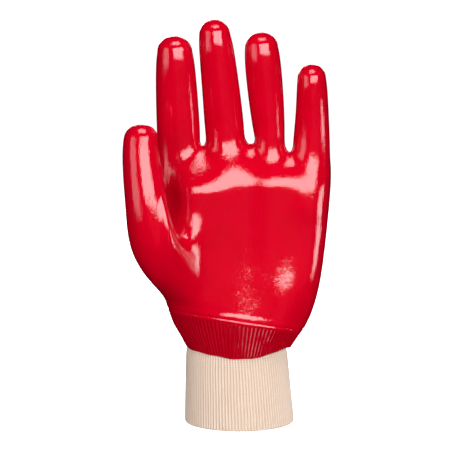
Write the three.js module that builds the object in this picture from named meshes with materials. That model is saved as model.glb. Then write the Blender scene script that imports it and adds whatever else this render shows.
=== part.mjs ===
// A left-hand work glove of red PVC on cotton, filled as on a hand and standing with its fingers up.
// The palm looks towards -Y and the thumb is at -X. The cotton hand is sewn to a rib-knit wrist, and
// the PVC that it was dipped in runs past that seam and ends in a lip on the ribs.
// The origin is the middle of the opening at the hem, with Z up the glove. All sizes are millimetres.
// The hand is a coarse net of four-sided faces, worked out from the tables and smoothed once.
import * as THREE from "three";

// Driving dimensions.
const knitHeight = 52.5; // hem to the lip of the PVC, at the sides
const skirtHeight = 20.6; // lip of the PVC to the wrist seam
const palmHeight = 104; // wrist seam to the roots of the fingers
const palmWidth = 114; // across the knuckles
const palmDepth = 40; // from the back of the hand to the pads of the palm
const wristWidth = 70; // across the PVC at its lip
const wristDepth = 57;
const hemWidth = 72; // across the knit at its hem
const hemDepth = 57;
const lipDip = 1.9; // how much lower the lip hangs in front than at the sides
const coatWall = 1.5; // PVC and the cotton that it is fused to
const lipWall = 1; // the same at the lip, where the PVC thins out
const knitWall = 1.6; // two layers of rib knit
const pieceGap = 0.5; // between the knit and the skirt of the coat round it
const knitTuck = 0.5; // how much more room the knit leaves at the seam, where the skirt curves in
const hemRound = 0.8; // how far up the hem's fold is rounded
const ribCount = 54; // each stands for two ribs of the knit
const ribDepth = 0.5;
const fingerLength = 92.6; // from the roots' line to the tip of the middle finger
const fingerDepth = 23;
const thumbWidth = 24;
const thumbDepth = 22.5;

// Fingers from the thumb's side. Long and web are shares of the finger length above: from the
// roots' line to the tip, and how far over that line the web stands on the little finger's side.
// Places and widths are shares of the palm's width at the root, half way and at the tip, places
// from the palm's middle.
const fingers = [
  { long: 0.885, rootX: -0.342, midX: -0.356, tipX: -0.368, rootW: 0.25, midW: 0.238, tipW: 0.206, web: 0.13 },
  { long: 1, rootX: -0.077, midX: -0.109, tipX: -0.15, rootW: 0.232, midW: 0.211, tipW: 0.19, web: 0.14 },
  { long: 0.912, rootX: 0.179, midX: 0.148, tipX: 0.117, rootW: 0.172, midW: 0.205, tipW: 0.2, web: 0.088 },
  { long: 0.687, rootX: 0.412, midX: 0.417, tipX: 0.407, rootW: 0.222, midW: 0.186, tipW: 0.17, web: 0.022 },
];
const outerWeb = 0.022; // the web's share on the index finger's free side
const webFold = 0.066; // how far a web falls away to its front and back, as such a share
const webSpread = 0.9; // how near a web's ends come to the finger's full width
const webDepth = 0.8; // where its front and back edges lie, as a share of the finger's half depth

// Rings up a finger. Rise is a share of its free length, girth of its width and depth, and back is
// how far the ring lies behind the finger's root, as a share of its depth: fingers bend forward
// a little and their tips are blunt.
const fingerRings = [
  { rise: 0.11, girth: 1, back: -0.01 },
  { rise: 0.39, girth: 1, back: -0.09 },
  { rise: 0.67, girth: 1, back: -0.19 },
  { rise: 0.85, girth: 0.96, back: -0.26 },
  { rise: 0.95, girth: 0.81, back: -0.19 },
  { rise: 0.995, girth: 0.46, back: -0.14 },
];

// Rings of the coat from its lip to the seam. Rise is a share of the skirt's height, and grow is
// how far the ring has gone from the wrist's size to the size of the hand above the seam.
const skirtRings = [
  { rise: 0, grow: 0 },
  { rise: 0.3, grow: 0.3 },
  { rise: 0.68, grow: 0.75 },
];

// Rings of the hand from the seam up. Rise is a share of the palm's height. Left and right are
// shares of half its width, front and back of its depth. Hollow is how much of the front is
// taken back in the hollow of the palm, ball how much depth is added over the ball of the thumb, and
// knuckle how far the columns have gone from even spacing round the wrist to the fingers' places.
const palmRings = [
  { rise: 0, left: -0.8, right: 0.84, front: 0.68, back: 0.67, hollow: 0, ball: 0, knuckle: 0 },
  { rise: 0.13, left: -0.86, right: 0.91, front: 0.64, back: 0.62, hollow: 0.06, ball: 0.1, knuckle: 0.1 },
  { rise: 0.29, left: -0.94, right: 0.96, front: 0.59, back: 0.57, hollow: 0.12, ball: 0.16, knuckle: 0.3 },
  { rise: 0.48, left: -0.96, right: 1.0, front: 0.54, back: 0.52, hollow: 0.22, ball: 0.1, knuckle: 0.5 },
  { rise: 0.7, left: -0.95, right: 1.045, front: 0.51, back: 0.5, hollow: 0.31, ball: 0, knuckle: 0.8 },
  { rise: 0.84, left: -0.95, right: 1.07, front: 0.51, back: 0.45, hollow: 0.31, ball: 0, knuckle: 1 },
  { rise: 0.94, left: -0.95, right: 1.075, front: 0.43, back: 0.38, hollow: 0.22, ball: 0, knuckle: 1 },
];
const hollowPlace = 0.2; // where the hollow's middle is across the front, from -1 to 1
const hollowSpread = 0.6; // and how far it reaches, to about a third of its depth
const ballPlace = -0.7; // the same for the ball of the thumb
const ballSpread = 0.4;

// Rings of the thumb. Left, ahead and rise place the middle of the ring, as shares of half the
// palm's width, of its depth and of its height. Girth is a share of the thumb's width and depth,
// lean is how far the ring is tipped out of the palm and turn how far it is turned to the side,
// in degrees.
const thumbRings = [
  { left: -0.85, ahead: 0.74, rise: 0.41, girth: 1.44, lean: 62, turn: 14 },
  { left: -0.985, ahead: 0.98, rise: 0.57, girth: 1.37, lean: 23, turn: 30 },
  { left: -1.03, ahead: 0.985, rise: 0.76, girth: 1.22, lean: -1, turn: 40 },
  { left: -1.08, ahead: 0.93, rise: 0.95, girth: 1.12, lean: -8, turn: 45 },
  { left: -1.11, ahead: 0.85, rise: 1.13, girth: 1.03, lean: -10, turn: 45 },
  { left: -1.105, ahead: 0.775, rise: 1.262, girth: 0.82, lean: -12, turn: 45 },
];
const thumbRows = [1, 4]; // rings of the palm that the thumb's root starts and ends on
const thumbColumns = [0, 4]; // and the points along them
const tipFlat = 0.75; // size of the flat of a tip, as a share of its last ring
const tipRise = 0.025; // height of that flat over the ring, as a share of the finger length

// Rings of the knit from its opening at the seam down the inside, round the fold of the hem and up
// the outside. Rise is a share of the height from hem to lip, and past 1 of the skirt's height.
const knitInside = [1.93, 1, 0.5];
const knitOutside = [0.3, 0.65, 1, 1.3, 1.68, 1.93];

const fingerColumns = 3; // a left, a middle and a right one across the front of a finger
const columnsAcross = fingerColumns * fingers.length;
const ringPoints = 2 * columnsAcross + 2; // round the hand
const fingerPoints = 8; // and round a finger
const seamHeight = knitHeight + skirtHeight;
const rootHeight = seamHeight + palmHeight;
const halfPalm = palmWidth / 2;

const lerp = (a, b, share) => a + (b - a) * share;

// Value at a share t of the way along a curve through three values, at its start, half way and end.
function along(start, half, end, t) {
  return start * (1 - t) * (1 - 2 * t) + half * 4 * t * (1 - t) + end * t * (2 * t - 1);
}

// Smoothing pulls a ring of so many points in to this share of its size.
function smoothedShare(count) {
  return (2 + Math.cos((2 * Math.PI) / count)) / 3;
}

// A net of quads. Rings run anticlockwise seen from above.
class Net {
  points = [];
  faces = [];

  add(x, y, z) {
    this.points.push(new THREE.Vector3(x, y, z));
    return this.points.length - 1;
  }

  // The band between two rings, with a test for the faces to leave out.
  band(lower, upper, skip = () => false) {
    lower.forEach((point, i) => {
      const next = (i + 1) % lower.length;
      if (!skip(i)) this.faces.push([point, lower[next], upper[next], upper[i]]);
    });
  }

  sheet(rows) {
    for (let r = 0; r + 1 < rows.length; r++)
      for (let c = 0; c + 1 < rows[r].length; c++)
        this.faces.push([rows[r][c], rows[r][c + 1], rows[r + 1][c + 1], rows[r + 1][c]]);
  }
}

// The points round the border of a sheet, anticlockwise from its first corner.
function borderOf(rows) {
  return [
    ...rows[0].slice(0, -1),
    ...rows.slice(0, -1).map((row) => row.at(-1)),
    ...rows.at(-1).slice(1).reverse(),
    ...rows.slice(1).map((row) => row[0]).reverse(),
  ];
}

// Across a ring of the hand, from -1 at the thumb's side to 1: where column c lies on an evenly
// spaced round, and where it lies when it lines up with its finger.
function evenPlace(c) {
  return -Math.cos((Math.PI * (c + 1)) / (columnsAcross + 1));
}

function fingerPlace(c, left, right) {
  const finger = fingers[Math.floor(c / fingerColumns)];
  const side = (c % fingerColumns) - 1;
  const halfWidth = finger.rootW / 2 / smoothedShare(fingerPoints);
  const x = palmWidth * (finger.rootX + side * Math.SQRT1_2 * halfWidth);
  return (2 * x - left - right) / (right - left);
}

// One ring round the hand: a side point, the front columns, a side point and the back columns.
function handRing(net, { left, right, front, back, hollow = 0, ball = 0, knuckle = 0, height, dip = 0 }) {
  const share = smoothedShare(ringPoints);
  const middle = (left + right) / 2;
  const half = (right - left) / 2 / share;
  const power = lerp(2, 3, knuckle); // from an ellipse to a squarer round
  const column = (c, depth, sunk, raised) => {
    const place = lerp(evenPlace(c), fingerPlace(c, left, right), knuckle);
    const bulge = (1 - Math.abs(place) ** power) ** (1 / power);
    const centre = 1 - place ** 2;
    const inHollow = Math.exp(-(((place - hollowPlace) / hollowSpread) ** 2));
    const overBall = Math.exp(-(((place - ballPlace) / ballSpread) ** 2));
    const y = (depth / share) * bulge * (1 - sunk * inHollow) - raised * palmDepth * overBall;
    return net.add(middle + half * place, y, height - dip * centre);
  };
  const columns = [...Array(columnsAcross).keys()];
  return [
    net.add(middle - half, 0, height),
    ...columns.map((c) => column(c, -front, hollow, ball)),
    net.add(middle + half, 0, height),
    ...columns.reverse().map((c) => column(c, back, 0, 0)),
  ];
}

// A finger or the thumb, grown from a sheet of points through its rings to a closed tip.
function growFinger(net, root, rings, rise) {
  const rowSpan = root.length - 1;
  const columnSpan = root[0].length - 1;
  const spans = [columnSpan, rowSpan, columnSpan, rowSpan];
  const angles = spans.flatMap((span, side) =>
    [...Array(span).keys()].map((k) => (side + k / span - 1.5) * (Math.PI / 2)),
  );
  const share = smoothedShare(angles.length);
  let lower = borderOf(root);
  for (const { centre, across, behind, width, depth } of rings) {
    const upper = angles.map((angle) => {
      const p = centre.clone().addScaledVector(across, (Math.cos(angle) * width) / 2 / share);
      p.addScaledVector(behind, (Math.sin(angle) * depth) / 2 / share);
      return net.add(...p);
    });
    net.band(lower, upper);
    lower = upper;
  }
  const { centre, across, behind, width, depth } = rings.at(-1);
  const top = centre.clone().addScaledVector(across.clone().cross(behind), rise);
  const tip = root.map((row, r) =>
    row.map((_, c) => {
      if (r % rowSpan === 0 || c % columnSpan === 0) return -1;
      const p = top.clone().addScaledVector(across, (c / columnSpan - 0.5) * tipFlat * width);
      p.addScaledVector(behind, (r / rowSpan - 0.5) * tipFlat * depth);
      return net.add(...p);
    }),
  );
  const border = borderOf(tip.map((row, r) => row.map((_, c) => [r, c])));
  border.forEach(([r, c], i) => {
    tip[r][c] = lower[i];
  });
  net.sheet(tip);
}

// Where the rings of a finger lie, how wide they are and which way they face.
function ringsOfFinger(finger, foot) {
  const middleAt = (t) =>
    new THREE.Vector3(
      palmWidth * along(finger.rootX, finger.midX, finger.tipX, t),
      0,
      lerp(rootHeight + foot, rootHeight + finger.long * fingerLength, t),
    );
  const behind = new THREE.Vector3(0, 1, 0);
  const nudge = 0.01;
  return fingerRings.map(({ rise, girth, back }) => {
    const up = middleAt(rise + nudge).sub(middleAt(rise - nudge)).normalize();
    const centre = middleAt(rise).addScaledVector(behind, back * fingerDepth);
    const width = girth * palmWidth * along(finger.rootW, finger.midW, finger.tipW, rise);
    return { centre, across: behind.clone().cross(up), behind, width, depth: girth * fingerDepth };
  });
}

function ringsOfThumb() {
  const radians = THREE.MathUtils.degToRad;
  return thumbRings.map(({ left, ahead, rise, girth, lean, turn }) => {
    const centre = new THREE.Vector3(left * halfPalm, -ahead * palmDepth, seamHeight + rise * palmHeight);
    const across = new THREE.Vector3(Math.cos(radians(turn)), -Math.sin(radians(turn)), 0);
    const out = Math.sin(radians(lean));
    const up = new THREE.Vector3(out * across.y, -out * across.x, Math.cos(radians(lean)));
    return {
      centre,
      across,
      behind: up.cross(across),
      width: girth * thumbWidth,
      depth: girth * thumbDepth,
    };
  });
}

// The net of the whole coated hand, before smoothing.
function handNet() {
  const net = new Net();
  const seam = palmRings[0];
  const rings = [
    ...skirtRings.map(({ rise, grow }) =>
      handRing(net, {
        left: lerp(-wristWidth / 2, seam.left * halfPalm, grow),
        right: lerp(wristWidth / 2, seam.right * halfPalm, grow),
        front: lerp(wristDepth / 2, seam.front * palmDepth, grow),
        back: lerp(wristDepth / 2, seam.back * palmDepth, grow),
        height: knitHeight + rise * skirtHeight,
        dip: lipDip * (1 - rise),
      }),
    ),
    ...palmRings.map((row) =>
      handRing(net, {
        left: row.left * halfPalm,
        right: row.right * halfPalm,
        front: row.front * palmDepth,
        back: row.back * palmDepth,
        hollow: row.hollow,
        ball: row.ball,
        knuckle: row.knuckle,
        height: seamHeight + row.rise * palmHeight,
      }),
    ),
  ];

  // The roots of the fingers: three rows of points, with the webs along the middle one.
  const share = smoothedShare(fingerPoints);
  const webs = [outerWeb, ...fingers.map((finger) => finger.web)].map((web) => web * fingerLength);
  const rootRow = (depthShare) =>
    fingers.flatMap((finger, f) =>
      [-1, 0, 1].map((side) => {
        const web = side < 0 ? webs[f] : webs[f + 1];
        const fold = depthShare ? webFold * fingerLength : 0;
        const isOuter = f + side < 0 || f + side === fingers.length;
        const spread = depthShare ? Math.SQRT1_2 : isOuter ? 1 : webSpread;
        const x = palmWidth * (finger.rootX + (side * spread * finger.rootW) / 2 / share);
        const y = (depthShare * fingerDepth) / 2 / share;
        if (side) return net.add(x, y * webDepth, rootHeight + web - fold);
        return depthShare ? net.add(x, y, rootHeight + (webs[f] + webs[f + 1]) / 2 - fold) : -1;
      }),
    );
  const front = rootRow(-1);
  const middle = rootRow(0);
  const back = rootRow(1);
  rings.push([middle[0], ...front, middle.at(-1), ...back.toReversed()]);

  const [firstRow, lastRow] = thumbRows.map((row) => row + skirtRings.length);
  const [firstColumn, lastColumn] = thumbColumns;
  rings.slice(1).forEach((upper, r) => {
    const beside = r < firstRow || r >= lastRow;
    net.band(rings[r], upper, (i) => !beside && i >= firstColumn && i < lastColumn);
  });
  for (let c = fingerColumns - 1; c + 1 < columnsAcross; c += fingerColumns)
    net.sheet([front, middle, back].map((row) => [row[c], row[c + 1]]));

  fingers.forEach((finger, f) => {
    const first = fingerColumns * f;
    const root = [front, middle, back].map((row) => row.slice(first, first + fingerColumns));
    const foot = (webs[f] + webs[f + 1]) / 2;
    growFinger(net, root, ringsOfFinger(finger, foot), tipRise * fingerLength);
  });
  const thumbRoot = rings
    .slice(firstRow, lastRow + 1)
    .map((ring) => ring.slice(firstColumn, lastColumn + 1));
  growFinger(net, thumbRoot, ringsOfThumb(), tipRise * fingerLength);
  return net;
}

// Smoothing by subdivision: a point for each face and each edge, and each old point moved. An open
// edge follows its own line.
function smooth(net) {
  const mean = (list) => list.reduce((sum, p) => sum.add(p), new THREE.Vector3()).divideScalar(list.length);
  const keyOf = (a, b) => `${Math.min(a, b)} ${Math.max(a, b)}`;
  const centres = net.faces.map((face) => mean(face.map((i) => net.points[i])));
  const edges = new Map();
  net.faces.forEach((face, f) =>
    face.forEach((a, k) => {
      const b = face[(k + 1) % face.length];
      const key = keyOf(a, b);
      if (!edges.has(key)) edges.set(key, { ends: [a, b], sides: [] });
      edges.get(key).sides.push(centres[f]);
    }),
  );
  const near = net.points.map(() => ({ centres: [], inner: [], open: [] }));
  net.faces.forEach((face, f) => face.forEach((i) => near[i].centres.push(centres[f])));

  const finer = new Net();
  const edgePoints = [];
  for (const edge of edges.values()) {
    const [a, b] = edge.ends.map((i) => net.points[i]);
    const half = mean([a, b]);
    const isOpen = edge.sides.length === 1;
    for (const i of edge.ends) near[i][isOpen ? "open" : "inner"].push(half);
    edge.place = net.points.length + centres.length + edgePoints.length;
    edgePoints.push(isOpen ? half : mean([a, b, ...edge.sides]));
  }
  const moved = net.points.map((old, i) => {
    const { centres: around, inner, open } = near[i];
    if (open.length) return mean([old, old, ...open]);
    const count = around.length;
    const p = old.clone().multiplyScalar(count - 3).addScaledVector(mean(inner), 2);
    return p.add(mean(around)).divideScalar(count);
  });
  finer.points = [...moved, ...centres, ...edgePoints];
  finer.faces = net.faces.flatMap((face, f) =>
    face.map((a, k) => {
      const after = face[(k + 1) % face.length];
      const before = face.at(k - 1);
      return [a, edges.get(keyOf(a, after)).place, moved.length + f, edges.get(keyOf(before, a)).place];
    }),
  );
  return finer;
}

// A skin made into a closed wall: a second skin behind it, and a rim along the open edge.
function wallOf(skin, thicknessAt) {
  const normals = skin.points.map(() => new THREE.Vector3());
  for (const face of skin.faces) {
    const [a, b, c, d] = face.map((i) => skin.points[i]);
    const normal = c.clone().sub(a).cross(d.clone().sub(b));
    for (const i of face) normals[i].add(normal);
  }
  const wall = new Net();
  const behind = skin.points.map((p, i) =>
    p.clone().addScaledVector(normals[i].normalize(), -thicknessAt(p.z)),
  );
  const count = skin.points.length;
  wall.points = [...skin.points, ...behind];
  wall.faces = [...skin.faces, ...skin.faces.map((face) => face.map((i) => i + count).reverse())];
  const sides = skin.faces.flatMap((face) => face.map((a, k) => [a, face[(k + 1) % face.length]]));
  const known = new Set(sides.map(([a, b]) => `${a} ${b}`));
  for (const [a, b] of sides) if (!known.has(`${b} ${a}`)) wall.faces.push([b, a, a + count, b + count]);
  return wall;
}

// The rib-knit wrist: one closed band that folds back on itself at the hem.
function knitNet() {
  const net = new Net();
  const seam = palmRings[0];
  const flare = halfPalm * Math.max(-seam.left, seam.right) - wristWidth / 2;
  const slant = Math.hypot(flare, skirtHeight) / skirtHeight; // of the skirt's wall, which the knit lies in
  const hem = { left: -hemWidth / 2, right: hemWidth / 2, depth: hemDepth / 2 };
  const neck = { left: -wristWidth / 2, right: wristWidth / 2, depth: wristDepth / 2 };
  const top = {
    left: seam.left * halfPalm,
    right: seam.right * halfPalm,
    depth: Math.min(seam.front, seam.back) * palmDepth,
  };
  const ring = (rise, sunk, groove) => {
    const low = Math.min(rise, 1);
    const high = Math.max(rise - 1, 0);
    const inset = low * (lerp(lipWall, coatWall, high) * slant + pieceGap) + high * knitTuck;
    const left = lerp(lerp(hem.left, neck.left, low), top.left, high) + inset;
    const right = lerp(lerp(hem.right, neck.right, low), top.right, high) - inset;
    const depth = lerp(lerp(hem.depth, neck.depth, low), top.depth, high) - inset;
    return [...Array(2 * ribCount).keys()].map((i) => {
      const angle = (Math.PI * i) / ribCount;
      const back = sunk + (i % 2 ? groove : 0);
      const x = (left + right) / 2 + Math.cos(angle) * ((right - left) / 2 - back);
      const y = Math.sin(angle) * (depth - back);
      return net.add(x, y, low * knitHeight + high * skirtHeight);
    });
  };
  const fold = hemRound / knitHeight;
  const rings = [
    ...[...knitInside, fold].map((rise) => ring(rise, knitWall, 0)),
    ring(0, knitWall / 2, ribDepth / 2),
    ...[fold, ...knitOutside].map((rise) => ring(rise, 0, ribDepth)),
  ];
  rings.forEach((lower, r) => net.band(lower, rings[(r + 1) % rings.length]));
  return net;
}

function meshOf(name, net, material) {
  const geometry = new THREE.BufferGeometry();
  geometry.setAttribute("position", new THREE.Float32BufferAttribute(net.points.flatMap((p) => [...p]), 3));
  geometry.setIndex(net.faces.flatMap(([a, b, c, d]) => [a, b, c, a, c, d]));
  geometry.computeVertexNormals();
  const mesh = new THREE.Mesh(geometry, material);
  mesh.name = name;
  return mesh;
}

const redPvc = new THREE.MeshStandardMaterial({ color: 0xc8001e, roughness: 0.15, metalness: 0 });
const undyedCotton = new THREE.MeshStandardMaterial({ color: 0xe3d2bb, roughness: 0.95, metalness: 0 });

const coatAt = (height) => {
  const share = THREE.MathUtils.clamp((height - knitHeight) / skirtHeight, 0, 1);
  return lerp(lipWall, coatWall, share);
};

const glove = new THREE.Group();
glove.name = "pvc_coated_work_glove";
glove.add(meshOf("coated_hand", wallOf(smooth(handNet()), coatAt), redPvc));
glove.add(meshOf("knit_wrist", knitNet(), undyedCotton));

export default glove;
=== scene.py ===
import math

import bmesh
import bpy
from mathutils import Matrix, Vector, noise


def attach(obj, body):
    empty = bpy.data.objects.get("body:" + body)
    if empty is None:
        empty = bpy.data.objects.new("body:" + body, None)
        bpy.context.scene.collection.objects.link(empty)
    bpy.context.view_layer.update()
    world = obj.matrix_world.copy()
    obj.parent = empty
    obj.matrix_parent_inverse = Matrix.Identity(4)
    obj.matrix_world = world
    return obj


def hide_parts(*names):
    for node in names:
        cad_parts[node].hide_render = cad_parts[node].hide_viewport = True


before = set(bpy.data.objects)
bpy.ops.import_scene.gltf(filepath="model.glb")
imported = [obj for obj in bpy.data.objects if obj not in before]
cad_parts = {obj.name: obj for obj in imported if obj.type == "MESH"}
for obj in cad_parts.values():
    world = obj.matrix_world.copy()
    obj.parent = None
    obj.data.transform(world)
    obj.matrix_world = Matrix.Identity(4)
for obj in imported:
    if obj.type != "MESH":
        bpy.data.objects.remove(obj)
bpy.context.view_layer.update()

# The camera stands a little above the glove and square to its palm, with a long lens, so that the
# fingers stay nearly parallel.
mm = 0.001
camera_tilt = math.radians(12)
camera_distance = 1.571
camera_aim = Vector((-0.00854, 0, 0.1328))
camera_lens = 190.2
towards_camera = Vector((0, -math.cos(camera_tilt), math.sin(camera_tilt)))
bpy.ops.object.camera_add(
    location=camera_aim + camera_distance * towards_camera, rotation=(math.pi / 2 - camera_tilt, 0, 0)
)
camera = bpy.context.object
camera.name = "camera"
camera.data.lens = camera_lens
bpy.context.scene.camera = camera


# The coated hand: a sewn cotton glove that was dipped in red PVC. The coat is about as thick as the
# cotton it soaks into, thin at its lip, and swells over the wrist seam. It is made of the outside
# of the solid, and the cotton lining of the inside.
lip_height = 51.5 * mm
skirt_height = 20.6 * mm
wrist_radius = 32 * mm
seam_point = Vector((-43.8, -5, 77.4)) * mm
seam_up = Vector((0.155, 0.18, 1)).normalized()
rib_count = 108
coated_rib = 0.4 * mm

# How far the coat stands out over the wrist seam, by height over the seam's plane, in millimetres.
seam_profile = [
    (-2.6, 0.0),
    (-1.9, 0.05),
    (-1.4, 0.24),
    (-0.9, 0.36),
    (-0.35, 0.26),
    (0.1, -0.02),
    (0.5, 0.02),
    (1.1, 0.2),
    (2.1, 0.32),
    (3.1, 0.22),
    (4.0, 0.1),
    (4.8, 0.0),
]


def take_up(piece):
    """Leaves this piece alone selected, and makes it the one that operators change."""
    bpy.ops.object.select_all(action="DESELECT")
    piece.select_set(True)
    bpy.context.view_layer.objects.active = piece


def select(piece, kind, test):
    """In edit mode, selects the faces, edges or verts that pass the test, and nothing else."""
    bpy.ops.mesh.select_mode(type={"faces": "FACE", "edges": "EDGE", "verts": "VERT"}[kind])
    bpy.ops.mesh.select_all(action="DESELECT")
    mesh = bmesh.from_edit_mesh(piece.data)
    mesh.normal_update()
    for item in getattr(mesh, kind):
        if test(item):
            item.select_set(True)
    mesh.select_flush_mode()
    bmesh.update_edit_mesh(piece.data)


def apply_modifier(piece, kind, **settings):
    """Adds a modifier with its settings to this piece, and applies it."""
    take_up(piece)
    bpy.ops.object.modifier_add(type=kind)
    modifier = piece.modifiers[-1]
    for name, value in settings.items():
        setattr(modifier, name, value)
    bpy.ops.object.modifier_apply(modifier=modifier.name)


def smooth_step(low, high, value):
    """A share from 0 at low to 1 at high, which starts and ends gently."""
    share = min(max((value - low) / (high - low), 0), 1)
    return share * share * (3 - 2 * share)


def from_table(table, at):
    """The value at a place in a table of (place, value) rows, straight between its rows."""
    if at <= table[0][0]:
        return table[0][1]
    for (low, before), (high, after) in zip(table, table[1:]):
        if at <= high:
            return before + (after - before) * (at - low) / (high - low)
    return table[-1][1]


def over_seam(point):
    """How far a point lies over the plane of the wrist seam."""
    return (point - seam_point).dot(seam_up)


def wrist_angle(point):
    """Where a point lies round the wrist, as the angle of its ellipse at that height."""
    up = min(max((point.z - lip_height) / skirt_height, 0), 1)
    half_width = (35 + 11.7 * up) * mm
    half_depth = (28.5 - 1.5 * up) * mm
    return math.atan2(point.y / half_depth, (point.x - 1.1 * mm * up) / half_width)


def lip_rise(angle):
    """How much higher than the solid's own lip the lip of the coat ends, round the wrist."""
    hump = 2.2 * math.exp(-(((angle + 0.62) / 0.33) ** 2))
    wave = 0.5 * math.sin(2 * angle + 1) + 0.35 * math.sin(5 * angle) + 0.2 * math.sin(13 * angle + 2)
    return (hump + wave + 0.25 * noise.noise(Vector((40 * angle, 3, 7)))) * mm


# The end of the wall at the lip is taken off, which parts the outside from the inside.
lip_end_top = 58 * mm
coat = bpy.data.objects.new("coat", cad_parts["coated_hand"].data.copy())
bpy.context.collection.objects.link(coat)
take_up(coat)
bpy.ops.object.mode_set(mode="EDIT")
bpy.ops.mesh.select_all(action="SELECT")
bpy.ops.mesh.remove_doubles(threshold=0.01 * mm)
select(coat, "faces", lambda face: face.normal.z < -0.7 and face.calc_center_median().z < lip_end_top)
bpy.ops.mesh.delete(type="FACE")
bpy.ops.mesh.separate(type="LOOSE")
bpy.ops.object.mode_set(mode="OBJECT")
lining, coat = sorted(bpy.context.selected_objects, key=lambda half: half.dimensions.z)
lining.name, coat.name = "cotton_lining", "pvc_coat"
widest_bend = math.radians(70)
for half, levels in ((lining, 1), (coat, 2)):
    take_up(half)
    bpy.ops.object.mode_set(mode="EDIT")
    bpy.ops.mesh.select_all(action="SELECT")
    bpy.ops.mesh.customdata_custom_splitnormals_clear()
    bpy.ops.mesh.tris_convert_to_quads(face_threshold=widest_bend, shape_threshold=widest_bend)
    bpy.ops.object.mode_set(mode="OBJECT")
    apply_modifier(half, "SUBSURF", levels=levels, render_levels=levels)

# The fingertips are round, and the dip leaves them rounder. Each row is about where a tip's top is,
# how far the finger leans to the right and back there, and how high its dome is.
fingertips = [
    ((-43.0, -4.5, 258), (-0.03, -0.03), 12),
    ((-16.6, -4.5, 270), (-0.07, -0.03), 12),
    ((13.0, -4.5, 261), (-0.05, -0.03), 12),
    ((46.3, -4.5, 240), (-0.02, -0.03), 11),
    ((-62.5, -30, 208), (0.15, 0.15), 12),
]
tip_length = 25 * mm
finger_radius = 15 * mm
tip_fullness = 2.1


def round_tip(piece, top, lean, dome):
    """Draws the end of a finger out to half an ellipsoid that keeps its width, depth and height."""
    up = Vector((lean[0], lean[1], 1)).normalized()
    across = (Vector((1, 0, 0)) - up.x * up).normalized()
    axes = (across, up.cross(across))
    top = Vector(top) * mm
    near = []
    for vert in piece.data.vertices:
        p = vert.co - top
        if p.length < tip_length and (p - p.dot(up) * up).length < finger_radius:
            near.append(vert)
    height = max((vert.co - top).dot(up) for vert in near)
    foot = top + (height - dome * mm) * up
    ring = [vert.co - foot for vert in near if abs((vert.co - foot).dot(up)) < mm]
    radii = []
    for axis in axes:
        places = [p.dot(axis) for p in ring]
        radii.append((max(places) - min(places)) / 2)
        foot += (max(places) + min(places)) / 2 * axis
    for vert in near:
        p = vert.co - foot
        rise = p.dot(up) / (dome * mm)
        if rise > 0:
            shares = (abs(p.dot(axes[0])) / radii[0], abs(p.dot(axes[1])) / radii[1], rise)
            size = sum(share**tip_fullness for share in shares) ** (1 / tip_fullness)
            vert.co = foot + p * (1 + smooth_step(0, 0.5, rise) * (1 / size - 1))


# Each tip is then smoothed, and the lining's drawn in to stay under the coat.
smoothed_reach = 9 * mm
lining_gap = 0.6 * mm
for half in (coat, lining):
    for top, lean, dome in fingertips:
        round_tip(half, top, lean, dome)
        take_up(half)
        bpy.ops.object.mode_set(mode="EDIT")
        select(half, "verts", lambda vert: (vert.co - Vector(top) * mm).length < smoothed_reach)
        bpy.ops.mesh.vertices_smooth(factor=0.5, repeat=9)
        if half == lining:
            bpy.ops.transform.shrink_fatten(value=lining_gap)
        bpy.ops.object.mode_set(mode="OBJECT")

# The pads and hollows of the palm, which the highlights bend over. Each row is a place across and
# up the palm, its reach across, down and up, and how far it stands out, in millimetres. The last is
# the hollow behind the thumb. Only what faces the palm's side moves, and the thumb stays as it is.
palm_relief = [
    (-40, 158, 32, 40, 17, 7),
    (-8, 172, 13, 62, 13, 2.5),
    (20, 162, 16, 62, 14, 5.5),
    (46, 150, 14, 12, 30, 3.5),
    (50, 100, 12, 30, 60, 5),
    (32, 86, 10, 22, 21, 3.6),
    (-47, 154, 9, 20, 20, -8),
]
facing = [smooth_step(0, 0.6, -vert.normal.y) for vert in coat.data.vertices]
for vert, share in zip(coat.data.vertices, facing):
    if not share:
        continue
    x, y, z = (place / mm for place in vert.co)
    behind_thumb = smooth_step(-34, -24, y)
    on_thumb = smooth_step(-42, -52, x) * (1 - behind_thumb)
    out = 0
    for middle_x, middle_z, wide, down, up, height in palm_relief:
        across = (x - middle_x) / wide
        along = (z - middle_z) / (up if z > middle_z else down)
        held = behind_thumb if height < 0 else 1
        out += held * height * math.exp(-(across**2) - along**2)
    vert.co.y -= out * mm * share * (1 - on_thumb)

# The PVC fills the fold between the thumb and the palm.
fold = Vector((-32, -26, 117)) * mm
fold_reach = 20 * mm
take_up(coat)
bpy.ops.object.mode_set(mode="EDIT")
select(coat, "verts", lambda vert: (vert.co - fold).length < fold_reach)
bpy.ops.mesh.vertices_smooth(factor=0.5, repeat=20)
bpy.ops.object.mode_set(mode="OBJECT")

# The wrist seam under the coat: rows of edges along it, and more columns below it for the ribs.
seam_reach = 9 * mm
take_up(coat)
bpy.ops.object.mode_set(mode="EDIT")
for height, _ in seam_profile:
    select(coat, "faces", lambda face: abs(over_seam(face.calc_center_median())) < seam_reach)
    bpy.ops.mesh.bisect(plane_co=seam_point + height * mm * seam_up, plane_no=seam_up)


def runs_round_skirt(edge):
    """Whether an edge lies below the seam and runs round the wrist."""
    start, end = (vert.co for vert in edge.verts)
    if over_seam((start + end) / 2) > -0.6 * mm:
        return False
    return abs(end.z - start.z) < 0.45 * (end - start).length


select(coat, "edges", runs_round_skirt)
bpy.ops.mesh.subdivide(number_cuts=2)
bpy.ops.object.mode_set(mode="OBJECT")

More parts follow.
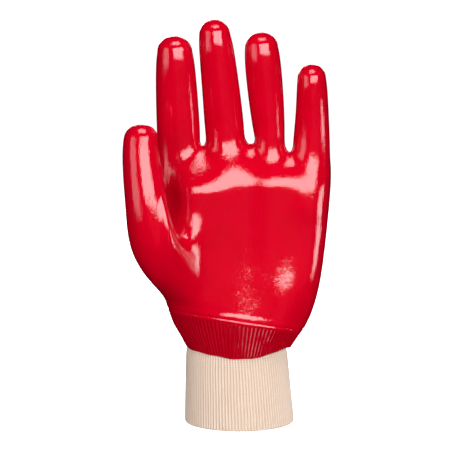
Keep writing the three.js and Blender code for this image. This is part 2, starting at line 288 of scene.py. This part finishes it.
# The coat swells over the seam and follows each rib below it, neither quite evenly. Its lip rises
# and falls, and draws the lowest 9 mm of the skirt with it.
skirt_top = 12
lip_part = 9
uneven_size = 4 * mm
normals = [vert.normal.copy() for vert in coat.data.vertices]
for vert, normal in zip(coat.data.vertices, normals):
    height = over_seam(vert.co) / mm
    if height > skirt_top:
        continue
    angle = wrist_angle(vert.co)
    uneven = noise.noise(vert.co / uneven_size)
    out = from_table(seam_profile, height) * mm * (1 + 0.5 * uneven)
    below = 1 - smooth_step(-2.4, -1.2, height)
    out += below * coated_rib * (1 + 0.5 * uneven) * (math.cos(rib_count * angle) - 0.3)
    vert.co += out * normal
    near_lip = 1 - smooth_step(0, lip_part, (vert.co.z - lip_height) / mm)
    along = (Vector((0, 0, 1)) - normal.z * normal) / max(1 - normal.z**2, 0.2)
    vert.co += near_lip * lip_rise(angle) * along

# The lip turns in: each row is how far in and how far down the next edge lies, in millimetres.
lip_edges = [(0.2, 0.22), (0.3, 0.1), (0.5, -0.1)]
take_up(coat)
bpy.ops.object.mode_set(mode="EDIT")
for inwards, down in lip_edges:
    select(coat, "edges", lambda edge: edge.is_boundary)
    bpy.ops.mesh.extrude_region_move(TRANSFORM_OT_translate={"value": (0, 0, -down * mm)})
    share = 1 - inwards * mm / wrist_radius
    bpy.ops.transform.resize(value=(share, share, 1), center_override=(0, 0, 0))
bpy.ops.object.mode_set(mode="OBJECT")
bpy.ops.object.shade_smooth()
take_up(lining)
bpy.ops.object.shade_smooth()
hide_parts("coated_hand")
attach(coat, "root")
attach(lining, "root")


def linear(colour):
    """A colour from its sRGB hex value."""
    shares = [int(colour[k : k + 2], 16) / 255 for k in (1, 3, 5)]
    return [s / 12.92 if s <= 0.04045 else ((s + 0.055) / 1.055) ** 2.4 for s in shares] + [1]


def node(tree, kind, settings=(), **inputs):
    """Adds a node with its settings. An input is a value, or the socket that it is linked to."""
    made = tree.nodes.new("ShaderNode" + kind)
    for name, value in dict(settings).items():
        setattr(made, name, value)
    for name, value in inputs.items():
        if name[1:].isdigit():
            socket = made.inputs[int(name[1:])]
        else:
            socket = made.inputs[name.replace("_", " ")]
        if isinstance(value, bpy.types.NodeSocket):
            tree.links.new(value, socket)
        else:
            socket.default_value = value
    return made


def new_material(name):
    """An empty material, with its node tree and its shader."""
    made = bpy.data.materials.new(name)
    made.use_nodes = True
    return made, made.node_tree, made.node_tree.nodes["Principled BSDF"]


# Plasticised PVC, cured in an oven: glossy and wet-looking. It flowed while it cured, so streaks
# run along the hand, and the rows of the cotton under it ripple the gloss and break up its edges.
# Where it lies on the ribs below the seam, a darker red is painted shade.
pvc_dark, pvc_light, pvc_shade_on_ribs = "#C00018", "#CE0022", "#A60016"

# A swell is 9 mm across, a streak 1.1 mm wide and 8 mm long, and a ripple 2.2 by 0.55 mm.
swells_per_metre = 110
streaks_per_metre = 900
ripples_per_metre = 1300
streak_stretch = (1, 1, 0.14)
ripple_stretch = (0.35, 0.35, 1.4)
red_pvc, tree, shader = new_material("dipped_red_pvc")
place = node(tree, "TexCoord").outputs["Object"]
stretched = node(tree, "Mapping", Vector=place, Scale=streak_stretch).outputs[0]
streaks = node(tree, "TexNoise", Vector=stretched, Scale=streaks_per_metre, Detail=2).outputs["Fac"]
swells = node(tree, "TexNoise", Vector=place, Scale=swells_per_metre, Detail=2).outputs["Fac"]
flattened = node(tree, "Mapping", Vector=place, Scale=ripple_stretch).outputs[0]
ripples = node(tree, "TexNoise", Vector=flattened, Scale=ripples_per_metre, Detail=1).outputs["Fac"]
swollen = node(tree, "Bump", Height=swells, Strength=0.12, Distance=1.2 * mm).outputs[0]
streaked = node(tree, "Bump", Height=streaks, Strength=0.6, Distance=0.2 * mm, Normal=swollen).outputs[0]
rippled = node(tree, "Bump", Height=ripples, Strength=0.5, Distance=0.07 * mm, Normal=streaked).outputs[0]
smooth_tone = node(
    tree, "Mix", {"data_type": "RGBA"}, _0=swells, _6=linear(pvc_dark), _7=linear(pvc_light)
).outputs[2]
gloss = node(tree, "MapRange", Value=streaks, To_Min=0.05, To_Max=0.09).outputs[0]
# The share of the painted shade on the ribs: full below the seam, none above it.
height = node(tree, "VectorMath", {"operation": "DOT_PRODUCT"}, _0=place, _1=seam_up).outputs["Value"]
seam_level = seam_point.dot(seam_up)
rib_shade = node(
    tree,
    "MapRange",
    Value=height,
    From_Min=seam_level - 3 * mm,
    From_Max=seam_level - mm,
    To_Min=1,
    To_Max=0,
).outputs[0]
tone = node(
    tree, "Mix", {"data_type": "RGBA"}, _0=rib_shade, _6=smooth_tone, _7=linear(pvc_shade_on_ribs)
).outputs[2]
tree.links.new(tone, shader.inputs["Base Color"])
tree.links.new(gloss, shader.inputs["Roughness"])
tree.links.new(rippled, shader.inputs["Normal"])
shader.inputs["IOR"].default_value = 1.53
coat.data.materials.clear()
coat.data.materials.append(red_pvc)


# The knit wrist: undyed cotton in a one-and-one rib, two layers folded at the hem, sewn to the
# hand under the coat. Each rib is a round wale of stitches with a narrow gap beside it.
knit_height = 52.5 * mm
stitch_rows = 2
rib_columns = 6
row_height = 0.8 * mm
rib_depth = 0.8 * mm
knit_wall = 1.6 * mm
hem_half = (36.6 * mm, 28.7 * mm)
neck_half = (33.4 * mm, 28.1 * mm)
hem_middle, neck_middle = 0.4 * mm, -1.7 * mm
stitch_lean = 0.06 * mm
under_lip = 0.6 * mm
around = rib_count * rib_columns

# The rows run nine past the knit's height, up under the coat, and then down the inside again.
outer_rows = int(knit_height / row_height) + 9
inner_rows = 16
bpy.ops.mesh.primitive_circle_add(vertices=around, radius=1, location=(0, 0, 0))
knit = bpy.context.object
knit.name = "rib_knit"
bpy.ops.object.mode_set(mode="EDIT")
for _ in range(outer_rows + inner_rows):
    bpy.ops.mesh.extrude_edges_move(TRANSFORM_OT_translate={"value": (0, 0, row_height)})
bpy.ops.object.mode_set(mode="OBJECT")


def rib_phase(column):
    """Where a column of the knit lies across its rib, from one crest at 0 to the next at 1."""
    return (column % rib_columns) / rib_columns


def crest_at(column):
    """How near a column of the knit is to the crest of its rib, from 0 in the gap to 1."""
    return 0.5 + 0.5 * math.cos(2 * math.pi * rib_phase(column))


def knit_point(column, row):
    """A point of the knit: up the outside from the hem, and down the inside again."""
    angle = 2 * math.pi * column / around
    crest = crest_at(column)
    if row <= outer_rows:
        height, sunk = row * row_height, 0
    else:
        share = (row - outer_rows) / inner_rows
        height, sunk = outer_rows * row_height * (1 - share), knit_wall
    low = min(height / knit_height, 1)
    past = max(height - knit_height, 0)
    half_x = hem_half[0] + (neck_half[0] - hem_half[0]) * low + 0.3 * past
    half_y = hem_half[1] + (neck_half[1] - hem_half[1]) * low - 0.15 * past
    inset = sunk + rib_depth * (1 - crest**0.6)
    inset += min(0.3 * past, mm)
    inset += under_lip * smooth_step(0.85, 1, low)
    if not sunk:
        side = 1 if abs(rib_phase(column) - 0.5) > 0.3 else -1
        inset += stitch_lean * side * (1 if row % stitch_rows else -1)

    # The two layers meet in a round fold at the hem, where the gaps start higher than the crests.
    round_hem = max(1 - height / (0.8 * mm), 0)
    inset += (-1 if sunk else 1) * round_hem * 0.45 * knit_wall
    height += 0.5 * mm * (1 - crest) * max(1 - height / (3 * mm), 0)
    wobble = 0.5 * mm * noise.noise(Vector((3 * math.cos(angle), 3 * math.sin(angle), 45 * height)))
    angle += wobble / wrist_radius
    x = hem_middle + (neck_middle - hem_middle) * low + (half_x - inset) * math.cos(angle)
    y = (half_y - inset) * math.sin(angle)
    return Vector((x, y, height))


# The crests are kept as an attribute, weaker on every other row, for the colour of the yarn: where it is
# low, a painted shade darkens the gaps and every other row.
shade = knit.data.attributes.new("crest", "FLOAT", "POINT")
for vert in knit.data.vertices:
    column, row = vert.index % around, vert.index // around
    vert.co = knit_point(column, row)
    shade.data[vert.index].value = crest_at(column) * (0.4 if row % stitch_rows else 1)
take_up(knit)
bpy.ops.object.mode_set(mode="EDIT")
select(knit, "edges", lambda edge: edge.is_boundary)
bpy.ops.mesh.bridge_edge_loops()
bpy.ops.object.mode_set(mode="OBJECT")
bpy.ops.object.shade_smooth()
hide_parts("knit_wrist")
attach(knit, "root")

# Undyed cotton yarn, spun and knitted: matt and fuzzy, a warm white on the ribs, with a darker
# painted shade in the gaps between them. Its fibres are too fine to show, so the fuzz is drawn 0.8 mm
# across. The lining carries no crests, so it has the darker painted shade all over.
yarn_dark, yarn_light, gap_shade_colour = "#E8D5C6", "#FCEFE6", "#CDB097"
fuzz_per_metre = 1300
cotton, tree, shader = new_material("undyed_cotton_knit")
place = node(tree, "TexCoord").outputs["Object"]
fuzz = node(tree, "TexNoise", Vector=place, Scale=fuzz_per_metre, Detail=3).outputs["Fac"]
fluff = node(tree, "Bump", Height=fuzz, Strength=0.8, Distance=0.15 * mm).outputs[0]
yarn = node(
    tree, "Mix", {"data_type": "RGBA"}, _0=fuzz, _6=linear(yarn_dark), _7=linear(yarn_light)
).outputs[2]
crest = node(tree, "Attribute", {"attribute_name": "crest"}).outputs["Fac"]
# The crests take the yarn's colour, and the gaps and every other row a painted shade.
tone = node(tree, "Mix", {"data_type": "RGBA"}, _0=crest, _6=linear(gap_shade_colour), _7=yarn).outputs[2]
tree.links.new(tone, shader.inputs["Base Color"])
tree.links.new(fluff, shader.inputs["Normal"])
shader.inputs["Roughness"].default_value = 0.95
shader.inputs["Sheen Weight"].default_value = 0.3
knit.data.materials.append(cotton)
lining.data.materials.clear()
lining.data.materials.append(cotton)


# The studio: a pale floor that glows and takes no shadow, and soft boxes round the glove. The gloss
# shows those to the right, to the left, overhead and behind, and a small one close beside the glove,
# whose light runs along the palm's edge. The key and fill boxes don't show in it.
floor_drop = 0.15
bpy.ops.mesh.primitive_circle_add(vertices=64, radius=9, fill_type="NGON", location=(0, 0, -floor_drop))
floor = bpy.context.object
floor.name = "floor"
pale, tree, shader = new_material("pale_floor")
shader.inputs["Base Color"].default_value = linear("#F4F4F4")
shader.inputs["Roughness"].default_value = 0.9
shader.inputs["Emission Color"].default_value = (1, 1, 1, 1)
shader.inputs["Emission Strength"].default_value = 1
floor.data.materials.append(pale)
floor.visible_glossy = False
floor.visible_diffuse = False
floor.visible_shadow = False

world = bpy.data.worlds.new("studio")
bpy.context.scene.world = world
world.use_nodes = True
backdrop = world.node_tree.nodes["Background"]
backdrop.inputs["Color"].default_value = (1, 1, 1, 1)
backdrop.inputs["Strength"].default_value = 0.12
world.cycles_visibility.glossy = False

glove_middle = Vector((0, 0, 140)) * mm


def soft_box(name, turn, rise, distance, wide, high, strength):
    """A box of light round the glove: degrees to the right and above level, metres, and radiance."""
    turn, rise = math.radians(turn), math.radians(rise)
    towards = Vector((math.sin(turn) * math.cos(rise), -math.cos(turn) * math.cos(rise), math.sin(rise)))
    bpy.ops.object.light_add(type="AREA", location=glove_middle + distance * towards)
    box = bpy.context.object
    box.name = name
    box.rotation_euler = towards.to_track_quat("Z", "Y").to_euler()
    box.data.shape = "RECTANGLE"
    box.data.size, box.data.size_y = wide, high
    box.data.energy = strength * math.pi * wide * high
    box.visible_camera = False
    return box


soft_box("right_box", 19, 18.5, 1.3, 1.4, 0.6, 8.5).visible_diffuse = False
soft_box("left_box", -55, 8, 1.3, 0.75, 0.8, 2.5)
soft_box("key_box", 24, -2, 0.75, 0.8, 0.8, 3.2).visible_glossy = False
soft_box("fill_box", -40, 20, 1.4, 1.2, 1.2, 0.7).visible_glossy = False
soft_box("top_box", 8, 72, 1.0, 0.55, 0.5, 7)
soft_box("edge_box", 80, -9, 0.267, 0.09, 0.115, 7).visible_diffuse = False
soft_box("back_box", 180, 20, 1.4, 0.9, 1.0, 5)
bpy.context.scene.view_settings.view_transform = "Standard"
